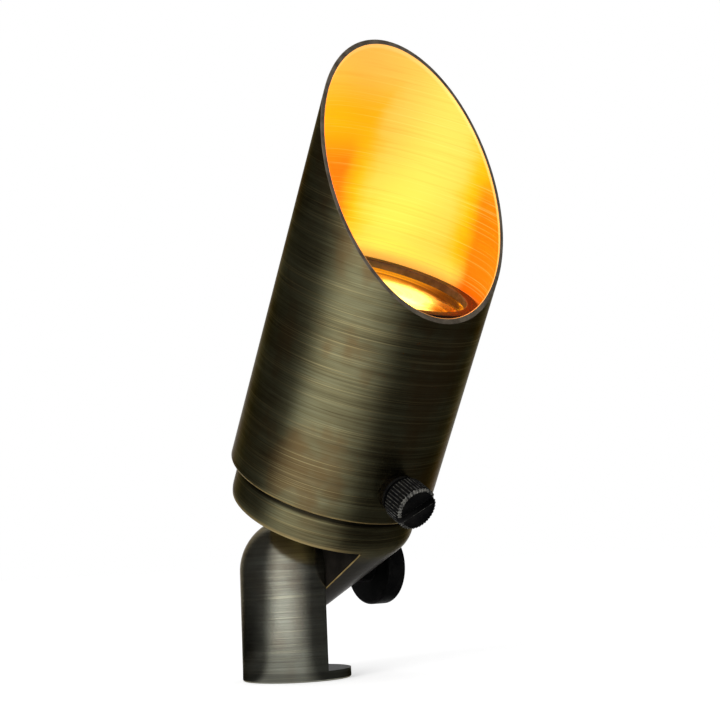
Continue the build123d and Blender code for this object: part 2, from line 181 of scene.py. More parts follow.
def rounded(profile, radii, steps=4):
    """Profile with its corners rounded.  radii gives one radius per corner, 0 for none."""
    made = []
    count = len(profile)
    for number, (corner, radius) in enumerate(zip(profile, radii)):
        if radius == 0:
            made.append(corner)
            continue
        here = Vector(corner)
        back = (Vector(profile[number - 1]) - here).normalized()
        ahead = (Vector(profile[(number + 1) % count]) - here).normalized()
        half = back.angle(ahead) / 2
        reach = radius / tan(half)
        centre = here + (back + ahead).normalized() * (radius / sin(half))
        first = here + back * reach - centre
        last = here + ahead * reach - centre
        turn = atan2(first.x * last.y - first.y * last.x, first.dot(last))
        for step in range(steps + 1):
            angle = turn * step / steps
            made.append((centre.x + first.x * cos(angle) - first.y * sin(angle),
                         centre.y + first.x * sin(angle) + first.y * cos(angle)))
    return made


def block(low, high, place):
    """Cutter box between two corners in millimetres."""
    corners = [(x, y, z) for x in (low[0], high[0]) for y in (low[1], high[1]) for z in (low[2], high[2])]
    faces = [(0, 1, 3, 2), (4, 6, 7, 5), (0, 4, 5, 1), (2, 3, 7, 6), (0, 2, 6, 4), (1, 5, 7, 3)]
    return new_piece("cutter", corners, faces, place)


def cut(piece, cutter):
    """Takes the cutter away from the piece, for good."""
    modifier = piece.modifiers.new("cut", "BOOLEAN")
    modifier.operation = "DIFFERENCE"
    modifier.solver = "EXACT"
    modifier.object = cutter
    bpy.context.view_layer.update()
    evaluated = piece.evaluated_get(bpy.context.evaluated_depsgraph_get())
    mesh = bpy.data.meshes.new_from_object(evaluated)
    piece.modifiers.clear()
    piece.data = mesh
    bpy.data.objects.remove(cutter)
    return piece


def bevel(piece, width, angle=35, segments=2, material=-1, clamp=True):
    """Rounds the sharp edges that the cuts have left."""
    modifier = piece.modifiers.new("bevel", "BEVEL")
    modifier.width = width * MM
    modifier.segments = segments
    modifier.limit_method = "ANGLE"
    modifier.angle_limit = radians(angle)
    modifier.material = material
    modifier.use_clamp_overlap = clamp
    modifier.harden_normals = True
    return piece


def paint(piece, place, index, test):
    """Gives a material slot to the faces whose middle, in millimetres about a place, passes a test."""
    back = place.inverted()
    for face in piece.data.polygons:
        if test((back @ face.center) / MM):
            face.material_index = index
    return piece


# --------------------------------------------------------------- materials ----
class Tree:
    """Short names for making a material's nodes."""

    def __init__(self, name):
        self.material = bpy.data.materials.new(name)
        self.material.use_nodes = True
        self.nodes = self.material.node_tree.nodes
        self.links = self.material.node_tree.links
        self.shader = self.nodes["Principled BSDF"]
        self.output = self.nodes["Material Output"]

    def node(self, kind, **settings):
        made = self.nodes.new("ShaderNode" + kind)
        for key, value in settings.items():
            setattr(made, key, value)
        return made

    def feed(self, socket, value):
        """Sets a socket to a number or colour, or links it to another socket."""
        if isinstance(value, bpy.types.NodeSocket):
            self.links.new(value, socket)
        elif isinstance(value, tuple) and len(value) == 3 and socket.type == "RGBA":
            socket.default_value = (*value, 1)
        else:
            socket.default_value = value

    def math(self, operation, a, b=0.0, clamp=False):
        made = self.node("Math", operation=operation, use_clamp=clamp)
        self.feed(made.inputs[0], a)
        self.feed(made.inputs[1], b)
        return made.outputs[0]

    def vector(self, operation, a, b=(0, 0, 0)):
        made = self.node("VectorMath", operation=operation)
        self.feed(made.inputs[0], a)
        self.feed(made.inputs[1], b)
        return made.outputs["Value" if operation in ("LENGTH", "DOT_PRODUCT") else "Vector"]

    def mix(self, share, a, b, kind="MIX"):
        made = self.node("Mix", data_type="RGBA", blend_type=kind, clamp_factor=True)
        self.feed(made.inputs["Factor"], share)
        self.feed(made.inputs["A"], a)
        self.feed(made.inputs["B"], b)
        return made.outputs["Result"]

    def ramp(self, value, low, high, start=0.0, end=1.0):
        """Smooth step of a value between two limits."""
        made = self.node("MapRange", interpolation_type="SMOOTHSTEP")
        self.feed(made.inputs["Value"], value)
        for key, number in (("From Min", low), ("From Max", high), ("To Min", start), ("To Max", end)):
            self.feed(made.inputs[key], number)
        return made.outputs["Result"]

    def local(self, origin, turn):
        """Object coordinates as seen from a place: metres about that place's own axes."""
        made = self.node("Mapping", vector_type="TEXTURE")
        self.links.new(self.node("TexCoord").outputs["Object"], made.inputs["Vector"])
        made.inputs["Location"].default_value = origin
        made.inputs["Rotation"].default_value = turn
        return made.outputs["Vector"]

    def noise(self, vector, stretch, detail=3.0, rough=0.55, offset=0.0):
        scaled = self.vector("MULTIPLY", vector, stretch)
        moved = self.vector("ADD", scaled, (offset, offset * 0.7, offset * 1.3))
        made = self.node("TexNoise")
        self.feed(made.inputs["Vector"], moved)
        self.feed(made.inputs["Scale"], 1.0)
        self.feed(made.inputs["Detail"], detail)
        self.feed(made.inputs["Roughness"], rough)
        return made.outputs["Fac"]

    def bump(self, height, strength, distance, normal=None):
        made = self.node("Bump")
        self.feed(made.inputs["Height"], height)
        self.feed(made.inputs["Strength"], strength)
        self.feed(made.inputs["Distance"], distance)
        if normal is not None:
            self.links.new(normal, made.inputs["Normal"])
        return made.outputs["Normal"]

    def along(self, axis):
        """The turning axis in the world.  Highlights on a turned finish spread along it."""
        turn = self.node("VectorTransform", vector_type="VECTOR", convert_from="OBJECT", convert_to="WORLD")
        turn.inputs["Vector"].default_value = axis
        return turn.outputs["Vector"]


def set_shader(shader, **values):
    """Sets constants on a shader's own sockets.  An underscore in a name stands for a space."""
    for key, value in values.items():
        socket = shader.inputs[key.replace("_", " ")]
        socket.default_value = (*value, 1) if isinstance(value, tuple) and len(value) == 3 else value


# Where a material's coordinates start and how they are turned, and the turning axes
row_frame = ((0, 0, 0), (0, 0, 0))
head_frame = (tuple(axis_place.translation), (radians(head_tilt), 0, 0))
head_direction = tuple(axis_place.to_3x3() @ Vector((0, 0, 1)))
upright = (0, 0, 1)


def brushed_metal(name, place_of, axis, tones, roughness, stain=1.0, hair_share=0.5, relief=0.16,
                  anisotropy=0.6, bands=(), dull_below=None):
    """Patinated metal, brushed round its turning axis.

    Tones are dark, middle, light, bright line and stain.  Each band is a belt of another tone: its
    lowest and highest place along the axis, the width over which it fades, its share and its colour.
    A band on one side only also has the places along X where it starts and where it is full.
    Below a height the metal can be made duller, less metallic: on the housing this goes with the ear's
    painted shade.
    """
    dark, middle, light, bright, red = tones
    t = Tree(name)
    place = t.local(*place_of)
    # A second set of brush lines leans a little, so that the lines cross
    tilted = t.node("VectorRotate", rotation_type="X_AXIS")
    t.links.new(place, tilted.inputs["Vector"])
    tilted.inputs["Angle"].default_value = radians(2.2)
    tilted = tilted.outputs["Vector"]
    cloud = t.noise(place, (32, 32, 50), 3.0, 0.6)
    blotch = t.noise(place, (60, 60, 45), 3.0, 0.6, 31.3)
    band = t.noise(place, (14, 14, 420), 3.0, 0.6, 3.1)
    line = t.noise(place, (24, 24, 2000), 3.0, 0.7, 7.7)
    hair = t.noise(tilted, (18, 18, 3000), 1.0, 0.5, 12.4)
    deep = t.noise(tilted, (22, 22, 2500), 1.0, 0.5, 21.9)
    level = t.math("ADD", t.math("MULTIPLY", band, 0.36), t.math("MULTIPLY", line, 0.62))
    level = t.math("ADD", level, t.math("MULTIPLY", cloud, 0.62))
    colour = t.mix(t.ramp(level, 0.58, 0.80), dark, middle)
    colour = t.mix(t.ramp(level, 0.74, 1.00), colour, light)
    colour = t.mix(t.math("MULTIPLY", t.ramp(blotch, 0.47, 0.67), 0.65 * stain), colour, red)
    colour = t.mix(t.math("MULTIPLY", t.ramp(hair, 0.56, 0.74), hair_share), colour, bright)
    colour = t.mix(t.math("MULTIPLY", t.ramp(deep, 0.56, 0.74), 0.5), colour, dark)
    split = t.node("SeparateXYZ")
    t.links.new(place, split.inputs["Vector"])
    height = split.outputs["Z"]
    for low, high, fade, share, tone, *side in bands:
        inside = t.math("MULTIPLY", t.ramp(height, (low - fade) * MM, low * MM),
                        t.ramp(height, (high + fade) * MM, high * MM))
        if side:
            inside = t.math("MULTIPLY", inside, t.ramp(split.outputs["X"], side[0] * MM, side[1] * MM))
        colour = t.mix(t.math("MULTIPLY", inside, share), colour, tone)
    t.feed(t.shader.inputs["Base Color"], colour)
    t.feed(t.shader.inputs["Roughness"], t.ramp(line, 0.2, 0.8, roughness - 0.04, roughness + 0.06))
    grooves = t.math("ADD", line, t.math("MULTIPLY", hair, 0.6))
    t.feed(t.shader.inputs["Normal"], t.bump(grooves, relief, 0.00003))
    t.feed(t.shader.inputs["Tangent"], t.along(axis))
    set_shader(t.shader, Metallic=1.0, Anisotropic=anisotropy, Specular_Tint=(0.40, 0.36, 0.31))
    if dull_below is not None:
        shine = t.ramp(height, (dull_below - 4) * MM, (dull_below + 4) * MM, 0.3, 1.0)
        t.feed(t.shader.inputs["Metallic"], shine)
    return t.material


shroud_tones = ((0.085, 0.068, 0.035), (0.165, 0.150, 0.078), (0.235, 0.228, 0.130), (0.46, 0.38, 0.18),
                (0.160, 0.094, 0.036))
stem_tones = ((0.190, 0.184, 0.150), (0.300, 0.300, 0.245), (0.410, 0.425, 0.350), (0.62, 0.61, 0.44),
              (0.200, 0.135, 0.085))


def grained(name, low_tone, high_tone, roughness, metallic=0.0, scale=400, depth=0.00002, specular=0.5):
    """Fine-grained finish: two tones, uneven gloss and a little relief."""
    t = Tree(name)
    place = t.local(*row_frame)
    cloud = t.noise(place, (scale, scale, scale), 4.0, 0.6)
    grain = t.noise(place, (scale * 6, scale * 6, scale * 6), 3.0, 0.6, 5.5)
    t.feed(t.shader.inputs["Base Color"], t.mix(t.ramp(cloud, 0.34, 0.68), low_tone, high_tone))
    t.feed(t.shader.inputs["Roughness"], t.ramp(grain, 0.3, 0.7, roughness - 0.06, roughness + 0.06))
    t.feed(t.shader.inputs["Normal"], t.bump(grain, 0.25, depth))
    set_shader(t.shader, Metallic=metallic, Specular_IOR_Level=specular)
    return t.material


worn_gold = (0.42, 0.32, 0.14)
# Painted shadow: near-black tone for the housing just under the shroud's edge, where the shroud overhangs it
painted_shadow_tone = (0.010, 0.008, 0.006)
# Painted shade: darker grey tone for the ear below the housing's shoulder
ear_painted_shade = (0.050, 0.046, 0.037)
# Painted shade: darker tone for the stem towards its foot, near the floor
foot_painted_shade = (0.035, 0.033, 0.030)

bronze = brushed_metal("bronze", head_frame, head_direction, shroud_tones, 0.34,
                       bands=((31.0, 31.4, 0.4, 0.9, worn_gold),))
# The housing's bands: a painted shadow under the shroud's edge, painted shade on the ear (also less metallic
# there) and a worn gold edge on the milled side
housing_bronze = brushed_metal("housing_bronze", head_frame, head_direction, shroud_tones, 0.34, stain=0.5,
                               bands=((29.4, 31.2, 1.2, 0.9, painted_shadow_tone), (-20.0, 15.0, 8.0, 1.0, ear_painted_shade),
                                      (20.0, 20.8, 0.9, 0.8, worn_gold, 0.0, -12.0)), dull_below=20.0)
# The stem's band is painted shade: darker towards the foot
stem_bronze = brushed_metal("stem_bronze", row_frame, upright, stem_tones, 0.20, stain=0.6,
                            hair_share=0.35, relief=0.05, anisotropy=0.2,
                            bands=((-1.0, 2.2, 0.8, 0.4, foot_painted_shade),))
rim_bronze = grained("rim_bronze", (0.13, 0.105, 0.078), (0.24, 0.20, 0.15), 0.42, 0.6, 300)
foot_black = grained("foot_black", (0.006, 0.006, 0.005), (0.014, 0.013, 0.012), 0.5, 0.0, 300,
                     specular=0.06)
gold_edge = grained("gold_edge", (0.17, 0.115, 0.040), (0.40, 0.29, 0.105), 0.36, 0.4, 180)
ring_bronze = grained("ring_bronze", (0.006, 0.005, 0.004), (0.015, 0.011, 0.008), 0.50, 0.3, 300,
                      specular=0.2)
# Painted highlight: lighter tone for the glint on the front ring's lip
ring_lip_glint = grained("ring_lip_glint", (0.030, 0.023, 0.016), (0.075, 0.056, 0.040), 0.45, 0.3, 300)
boss_bronze = grained("boss_bronze", (0.012, 0.010, 0.008), (0.030, 0.022, 0.015), 0.45, 1.0, 400)
# Painted shade: the housing's milled lap face, in shade behind the stem, is made near black
lap_painted_shade = grained("lap_painted_shade", (0.006, 0.005, 0.004), (0.012, 0.010, 0.008), 0.6, 0.0, 200, specular=0.1)
black = grained("black_oxide", (0.0020, 0.0020, 0.0023), (0.0055, 0.0052, 0.0050), 0.46, 0.0, 300, 0.00003,
                specular=0.09)
black_worn = grained("black_worn", (0.006, 0.006, 0.006), (0.17, 0.165, 0.145), 0.40, 0.3, 900)
black_crest = grained("black_crest", (0.012, 0.012, 0.012), (0.10, 0.098, 0.09), 0.42, 0.5, 700)
steel = grained("stainless", (0.42, 0.42, 0.41), (0.60, 0.60, 0.58), 0.32, 1.0, 500)
rubber = grained("seal_rubber", (0.012, 0.012, 0.012), (0.030, 0.030, 0.029), 0.72, 0.0, 500)
silicone = grained("silicone_sleeve", (0.42, 0.10, 0.06), (0.56, 0.16, 0.10), 0.55, 0.0, 350)
ceramic = grained("socket_ceramic", (0.70, 0.68, 0.61), (0.80, 0.78, 0.72), 0.62, 0.0, 250)
moulding = grained("lamp_plastic", (0.66, 0.66, 0.64), (0.76, 0.76, 0.74), 0.45, 0.0, 300)
cast_metal = grained("lamp_casting", (0.40, 0.40, 0.42), (0.58, 0.58, 0.60), 0.42, 1.0, 260, 0.00004)
plating = grained("pin_plating", (0.52, 0.50, 0.44), (0.68, 0.66, 0.58), 0.26, 1.0, 700)


# The painted lamp light on the brass: the direction of its pale, lit side about the head's axis, and its
# colours
pale_side = radians(50)
lit_yellow = (1.0, 0.37, 0.002)
lit_pale = (1.0, 0.455, 0.070)
lit_foot = (1.0, 0.62, 0.10)
lit_orange = (1.0, 0.155, 0.001)
lit_line = (1.0, 0.56, 0.14)
lit_groove = (1.0, 0.27, 0.004)
lit_edge = (1.0, 0.56, 0.16)
unlit_brass = (0.06, 0.045, 0.022)


def make_inner_brass():
    """Raw brass inside the shroud, with the lamp's light painted on it as colour and glow: pale on one
    side, orange away from it."""
    t = Tree("inner_brass")
    place = t.local(*head_frame)
    cloud = t.noise(place, (50, 50, 60), 3.0, 0.6)
    line = t.noise(place, (20, 20, 1300), 3.0, 0.7, 2.7)
    hair = t.noise(place, (16, 16, 2600), 1.0, 0.5, 9.4)
    around = t.vector("NORMALIZE", t.vector("MULTIPLY", place, (1, 1, 0)))
    facing = t.vector("DOT_PRODUCT", around, (cos(pale_side), sin(pale_side), 0))
    facing = t.math("ADD", facing, t.math("MULTIPLY", t.math("SUBTRACT", cloud, 0.5), 0.16))
    facing = t.math("ADD", facing, t.math("MULTIPLY", t.math("SUBTRACT", line, 0.5), 0.10))
    split = t.node("SeparateXYZ")
    t.links.new(place, split.inputs["Vector"])
    height = split.outputs["Z"]
    pale = t.math("MAXIMUM", t.ramp(facing, 0.79, 0.95), t.ramp(height, 0.132, 0.148))
    low = t.math("MULTIPLY", t.ramp(facing, 0.84, 0.66), t.ramp(height, 0.131, 0.116))
    colour = t.mix(pale, lit_yellow, lit_pale)
    colour = t.mix(t.ramp(height, 0.101, 0.094, 0.0, 0.8), colour, lit_foot)
    colour = t.mix(low, colour, lit_orange)
    colour = t.mix(t.math("MULTIPLY", t.ramp(hair, 0.56, 0.74), 0.30), colour, lit_line)
    colour = t.mix(t.math("MULTIPLY", t.ramp(line, 0.52, 0.30), 0.25), colour, lit_groove)
    # Painted highlight: the mouth's inner edge is lighter, as if it catches the lamp's light
    slope = tan(radians(shroud_cut_angle))
    depth = t.math("SUBTRACT", t.math("MULTIPLY", split.outputs["Y"], slope), height)
    depth = t.math("ADD", depth, shroud_cut_height * MM)
    colour = t.mix(t.ramp(depth, 0.0014, 0.0006, 0.0, 0.7), colour, lit_edge)
    # Painted shade behind the front ring, where the lamp's light doesn't reach: the colour is dark there and
    # the painted glow, an emission standing in for the lamp's light, stops
    lit = t.ramp(height, 0.0885, 0.0925)
    t.feed(t.shader.inputs["Base Color"], t.mix(lit, unlit_brass, colour))
    t.feed(t.shader.inputs["Emission Color"], colour)
    t.feed(t.shader.inputs["Emission Strength"], t.math("MULTIPLY", lit, 0.62))
    t.feed(t.shader.inputs["Roughness"], t.ramp(line, 0.2, 0.8, 0.44, 0.58))
    t.feed(t.shader.inputs["Normal"], t.bump(line, 0.04, 0.00003))
    t.feed(t.shader.inputs["Tangent"], t.along(head_direction))
    set_shader(t.shader, Metallic=0.5, Anisotropic=0.5)
    return t.material


# The middle of the painted beam glow on the glass, in metres about the head's axis
glow_centre = (0.003, -0.002, 0)
lens_ior = 1.18


def make_glass():
    """Clear glass that lets light and shadow rays straight through, with the beam's glow painted on it as
    emission where the beam leaves it.
    """
    t = Tree("lens_clear")
    place = t.local(*head_frame)
    centre = t.vector("MULTIPLY", t.vector("SUBTRACT", place, glow_centre), (1, 1, 0))
    radius = t.vector("LENGTH", centre)
    ripple = t.noise(place, (420, 420, 420), 3.0)
    reach = t.math("ADD", radius, t.math("MULTIPLY", t.math("SUBTRACT", ripple, 0.5), 0.004))
    heat = t.math("POWER", t.ramp(reach, 0.0165, 0.0075), 1.6)
    clear = t.node("BsdfTransparent")
    gloss = t.node("BsdfGlossy")
    t.feed(gloss.inputs["Roughness"], t.ramp(ripple, 0.3, 0.7, 0.02, 0.05))
    fresnel = t.node("Fresnel")
    fresnel.inputs["IOR"].default_value = lens_ior
    body = t.node("MixShader")
    t.links.new(fresnel.outputs["Fac"], body.inputs["Fac"])
    t.links.new(clear.outputs["BSDF"], body.inputs[1])
    t.links.new(gloss.outputs["BSDF"], body.inputs[2])
    # Round the hot middle, the optic's rings are painted on the glass as amber lines of glow, brighter at the
    # back
    split = t.node("SeparateXYZ")
    t.links.new(place, split.inputs["Vector"])
    about = t.vector("LENGTH", t.vector("MULTIPLY", place, (1, 1, 0)))
    row = t.node("CombineXYZ")
    t.links.new(about, row.inputs["X"])
    lines = t.noise(row.outputs["Vector"], (1500, 1, 1), 3.0, 0.7, 3.3)
    amber = t.math("MAXIMUM", t.ramp(about, 0.0175, 0.012), t.ramp(split.outputs["Y"], -0.002, 0.015))
    amber = t.math("ADD", t.math("MULTIPLY", amber, 0.72), 0.10)
    amber = t.math("MULTIPLY", amber, t.ramp(lines, 0.36, 0.60, 0.20, 1.15))
    glow = t.node("Emission")
    tint = t.mix(amber, (1.0, 0.19, 0.004), (1.0, 0.40, 0.010))
    t.feed(glow.inputs["Color"], t.mix(heat, tint, (1.0, 0.72, 0.15)))
    t.feed(glow.inputs["Strength"], t.math("ADD", t.math("MULTIPLY", heat, 1.7), amber))
    total = t.node("AddShader")
    t.links.new(body.outputs["Shader"], total.inputs[0])
    t.links.new(glow.outputs["Emission"], total.inputs[1])
    t.links.new(total.outputs["Shader"], t.output.inputs["Surface"])
    return t.material


# Fine painted rings of light on the optic, in metres, two to each moulded ring
optic_ring_pitch = 0.0014


def make_optic_material():
    """Moulded optic with its light painted on as a glow: amber in its rings, darker towards the rim, with a
    few painted glints.
    """
    t = Tree("lamp_optic_lit")
    place = t.local(*head_frame)
    radius = t.vector("LENGTH", t.vector("MULTIPLY", place, (1, 1, 0)))
    heat = t.ramp(radius, 0.0235, 0.012)
    speck = t.noise(place, (900, 900, 900), 3.0)
    rings = t.math("SINE", t.math("MULTIPLY", radius, tau / optic_ring_pitch))
    glow = t.math("ADD", t.math("MULTIPLY", rings, 0.35), 0.65)
    glow = t.math("MULTIPLY", glow, t.ramp(speck, 0.2, 0.8, 0.6, 1.3))
    sparkle = t.math("MULTIPLY", t.ramp(t.noise(place, (1500, 1500, 1500), 2.0, 0.5, 4.0), 0.70, 0.78), 1.5)
    strength = t.math("MULTIPLY", t.math("ADD", t.math("MULTIPLY", heat, 1.1), 0.10), glow)
    t.feed(t.shader.inputs["Emission Color"], t.mix(heat, (1.0, 0.24, 0.010), (1.0, 0.36, 0.02)))
    t.feed(t.shader.inputs["Emission Strength"], t.math("ADD", strength, sparkle))
    set_shader(t.shader, Base_Color=(0.20, 0.075, 0.015), Roughness=0.16)
    return t.material


inner_brass = make_inner_brass()
glass = make_glass()
optic_lit = make_optic_material()


def finish_piece(piece, body, slot, materials, *replaced):
    """Gives a piece its materials and its body, and hides the CAD nodes that it stands for."""
    for material in materials if isinstance(materials, tuple) else (materials,):
        piece.data.materials.append(material)
    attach(piece, body)
    if replaced:
        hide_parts(*replaced)
    return piece


# ------------------------------------------------------------------ pieces ----
def make_stem():
    """Domed half-round post on a round foot, with the nipple's socket under it."""
    profile = rounded([(0, 0), (stem_radius, 0), (stem_radius, pivot_height)], [0, 0.5, 0])
    profile += arc((0, pivot_height), stem_radius, 0, 90, 40)[1:-1] + [(0, pivot_height + stem_radius)]
    stem = lathe("stem_body", profile, stem_place, closed=False)
    cut(stem, block((lap_face_x, -40, foot_height), (60, 40, 90), stem_place))
    socket = [(0, -1), (nipple_socket_radius, -1), (nipple_socket_radius, nipple_socket_depth),
              (0, nipple_socket_depth)]
    cut(stem, lathe("cutter", socket, Matrix.Translation((nipple_socket_x * MM, 0, 0)), 48, closed=False))
    paint(stem, stem_place, 1, lambda p: p.x > lap_face_x and p.z > foot_height - 0.05)
    return bevel(stem, 0.3)


def bullet_profile():
    """Outline of the turned bullet: its nose, cone and wall, the spigot and the bore."""
    slope = radians(ear_cone_angle)
    cone_top = (housing_radius * cos(slope) - ear_end_radius) / sin(slope)
    nose = arc((0, 0), ear_end_radius, -90, -ear_cone_angle, 24)
    nose[0] = (0, -ear_end_radius)
    corners = [nose[-1], (housing_radius, cone_top), (housing_radius, housing_top),
               (spigot_radius, housing_top), (spigot_radius, spigot_top), (housing_bore_radius, spigot_top),
               (housing_bore_radius, floor_top), (0, floor_top)]
    return nose[:-1] + rounded(corners, [0, ear_blend_radius, 0.2, 0, 0.2, 0, 0, 0], 10)


def make_housing():
    """Turned bullet, milled away on one side of the lap so that half of its cone is the ear."""
    housing = lathe("housing_body", bullet_profile(), axis_place, closed=False)
    cut(housing, block((-90, -90, -60), (ear_face_x, 90, shoulder_height), head_place))
    stud_hole = [(0, -60), (stud_hole_radius, -60), (stud_hole_radius, 60), (0, 60)]
    cut(housing, lathe("cutter", stud_hole, knob_place, 64, closed=False))
    spot = [(0, spot_face_x), (spot_face_radius, spot_face_x), (spot_face_radius, 60), (0, 60)]
    cut(housing, lathe("cutter", spot, knob_place, 96, closed=False))
    # The lap face gets slot 2, its near-black painted shade
    paint(housing, head_place, 2, lambda p: abs(p.x - ear_face_x) < 0.01 and p.z < shoulder_height)
    return bevel(housing, 0.25, material=1, clamp=False)


def make_shroud():
    """Thin tube, cut on a slant, from one rounded wall section per column."""
    columns = 288
    slope = tan(radians(shroud_cut_angle))
    points = []
    for step in range(columns):
        angle = tau * step / columns
        outer_top = shroud_cut_height + shroud_radius * sin(angle) * slope
        inner_top = shroud_cut_height + shroud_bore_radius * sin(angle) * slope
        section = rounded([(shroud_radius, shroud_bottom), (shroud_radius, outer_top),
                           (shroud_bore_radius, inner_top), (shroud_bore_radius, shroud_bottom)],
                          [0.45, 0.16, 0.16, 0.16], 3)
        points += [(radius * cos(angle), radius * sin(angle), height) for radius, height in section]
    count = len(section)
    faces = []
    for step in range(columns):
        a = count * step
        b = count * ((step + 1) % columns)
        for number in range(count):
            nxt = (number + 1) % count
            faces.append((a + number, b + number, b + nxt, a + nxt))
    shroud = new_piece("shroud_tube", points, faces, axis_place)
    wall, rim, inside, edge_gold = range(4)
    kinds = [edge_gold] * 3 + [wall] + [rim] * 4 + [inside] * 4 + [edge_gold] * 4
    for face in shroud.data.polygons:
        face.material_index = kinds[face.index % count]
    return shroud


def flute(radius, height, angle):
    """Radius of the thumbscrew's head with its knurl, which fades out on the way in over the crown."""
    if radius < thumbscrew_radius - 1.2 or height < thumbscrew_head_bottom - 0.01:
        return radius
    share = (angle * knurl_count / tau) % 1.0
    depth = knurl_depth * (1 - abs(2 * share - 1))
    return radius - depth * min(1, (radius - thumbscrew_collar_radius) / 0.8)


def make_thumbscrew():
    """Knurled head on its collar and shank, with a slot and worn edges."""
    columns = knurl_count * 8
    chamfer = thumbscrew_chamfer
    top = thumbscrew_face
    low = thumbscrew_head_bottom
    wide = thumbscrew_radius
    crown = wide - crown_width
    collar = thumbscrew_collar_face + contact_gap
    profile = [(0, thumbscrew_shank_tip), (thumbscrew_shank_radius, thumbscrew_shank_tip),
               (thumbscrew_shank_radius, collar), (thumbscrew_collar_radius, collar),
               (thumbscrew_collar_radius, low), (wide - chamfer, low), (wide, low + chamfer),
               (wide, top - chamfer), (wide - chamfer, top), (crown, top), (0, top)]
    screw = lathe("thumbscrew_head", profile, screw_place, columns, closed=False, wave=flute)
    slot_place = screw_place @ Matrix.Rotation(radians(slot_turn), 4, "Z")
    cut(screw, block((-20, -slot_width / 2, top - slot_depth), (20, slot_width / 2, top + 5), slot_place))
    edge = slot_width / 2 + slot_edge
    cut(screw, block((-20, -edge, top - slot_edge), (20, edge, top + 5), slot_place))
    paint(screw, screw_place, 1, lambda p: top - chamfer < p.z < top - 0.05 and p.xy.length > crown)
    paint(screw, screw_place, 1, lambda p: abs(p.z - top + slot_edge) < 0.02 and p.xy.length < wide - chamfer)
    crest = wide - knurl_depth / 4
    return paint(screw, screw_place, 2, lambda p: low < p.z < top - chamfer and p.xy.length > crest)


def make_knob():
    """Slotted disc on its neck."""
    profile = [(0, knob_neck_x), (knob_neck_radius, knob_neck_x), (knob_neck_radius, knob_inner_x),
               (knob_radius, knob_inner_x), (knob_radius, knob_outer_x), (0, knob_outer_x)]
    knob = lathe("clamp_knob_disc", rounded(profile, [0, 0, 0.4, 0.9, 0.9, 0], 6), knob_place, closed=False)
    half = knob_slot_width / 2
    cut(knob, block((-40, -half, knob_outer_x - knob_slot_depth), (40, half, knob_outer_x + 5), knob_place))
    return bevel(knob, 0.15)


def make_front_ring():
    """Turned ring over the lens, with a painted glint on the lip's inner edge."""
    profile = [(front_ring_radius, front_ring_bottom), (front_ring_radius, front_ring_top),
               (front_ring_opening, front_ring_top), (front_ring_opening, front_ring_seat),
               (front_ring_bore_radius, front_ring_seat), (front_ring_bore_radius, front_ring_bottom)]
    ring = lathe("front_ring_turned", rounded(profile, [0.2, 0.5, 0.4, 0.1, 0, 0.1]), axis_place)
    return paint(ring, axis_place, 1, lambda p: p.xy.length < front_ring_opening + 0.6)


def make_optic():
    """Moulded optic: a raised eye inside five shallow rings."""
    rim = optic_rim_radius
    eye = optic_eye_radius
    bottom = lamp_top - optic_thickness
    ring_top = lamp_top - optic_ring_step
    ring_dip = ring_top - optic_ring_step
    pitch = (rim - eye) / optic_ring_count
    corners = [(0, bottom), (optic_radius, bottom), (optic_radius, lamp_top), (rim, lamp_top),
               (rim, ring_top)]
    radii = [0, 0, 0.12, 0.12, 0.12]
    for number in range(optic_ring_count):
        crest = rim - number * pitch
        corners += [(crest - pitch * 0.8, ring_dip), (crest - pitch, ring_top)]
        radii += [0.25, 0.2]
    corners += [(eye * 0.7, ring_top + 0.66), (eye * 0.35, ring_top + 1.0), (0, ring_top + 1.1)]
    radii += [1.2, 1.2, 0]
    return lathe("optic_moulded", rounded(corners, radii, 5), axis_place, closed=False)


def make_lens():
    profile = [(0, lens_bottom), (lens_radius, lens_bottom), (lens_radius, lens_top), (0, lens_top)]
    return lathe("lens_glass", rounded(profile, [0, 0.3, 0.3, 0], 3), axis_place, closed=False)


finish_piece(make_stem(), "stem", "bronze", (stem_bronze, foot_black), "stem")
finish_piece(make_housing(), "head", "bronze", (housing_bronze, gold_edge, lap_painted_shade), "lamp_housing")
finish_piece(make_shroud(), "shroud", "bronze", (bronze, rim_bronze, inner_brass, gold_edge), "shroud")
finish_piece(make_thumbscrew(), "thumbscrew", "black_hardware", (black, black_worn, black_crest),
             "shroud_thumbscrew")
finish_piece(make_knob(), "clamp_screw", "black_hardware", black, "clamp_knob")
finish_piece(make_front_ring(), "front_ring", "bronze", (ring_bronze, ring_lip_glint), "front_ring")
finish_piece(make_lens(), "lens", "clear_glass", glass, "front_lens")
finish_piece(make_optic(), "head", "lamp_lens", optic_lit, "lamp_optic")

# The rest of the CAD nodes keep their shapes and get their finishes here
finishes = {
    "stem_grommet": rubber, "lap_seal": rubber, "friction_ring_low": rubber, "friction_ring_high": rubber,
    "front_ring_seal": rubber, "lens_seal": rubber, "floor_grommet": rubber,
    "clamp_washer": black, "shroud_screw_washer": black, "shroud_boss": boss_bronze,
    "clamp_stud": steel, "socket_bridge": steel, "socket_screws": steel, "bridge_screws": steel,
    "lamp_cup": cast_metal, "lamp_board": moulding, "lamp_base": moulding, "lamp_emitter": optic_lit,
    "lamp_pins": plating, "lamp_socket": ceramic, "socket_leads": silicone,
}
for name, finish in finishes.items():
    nodes[name].data.materials.clear()
    nodes[name].data.materials.append(finish)


# ----------------------------------------------------------- camera, light ----
# The camera was fitted to the photograph: its angles, its distance in metres, its focal length in pixels,
# and the pixel where the origin of the frame lies
camera_azimuth = radians(-35.8908)
camera_elevation = radians(-8.2481)
camera_roll = radians(-2.4855)
camera_distance = 0.397046
focal_pixels = 1344.2
photo_size = 720
origin_pixel_x = 297.4213
origin_pixel_y = 678.2878
sensor_width = 36


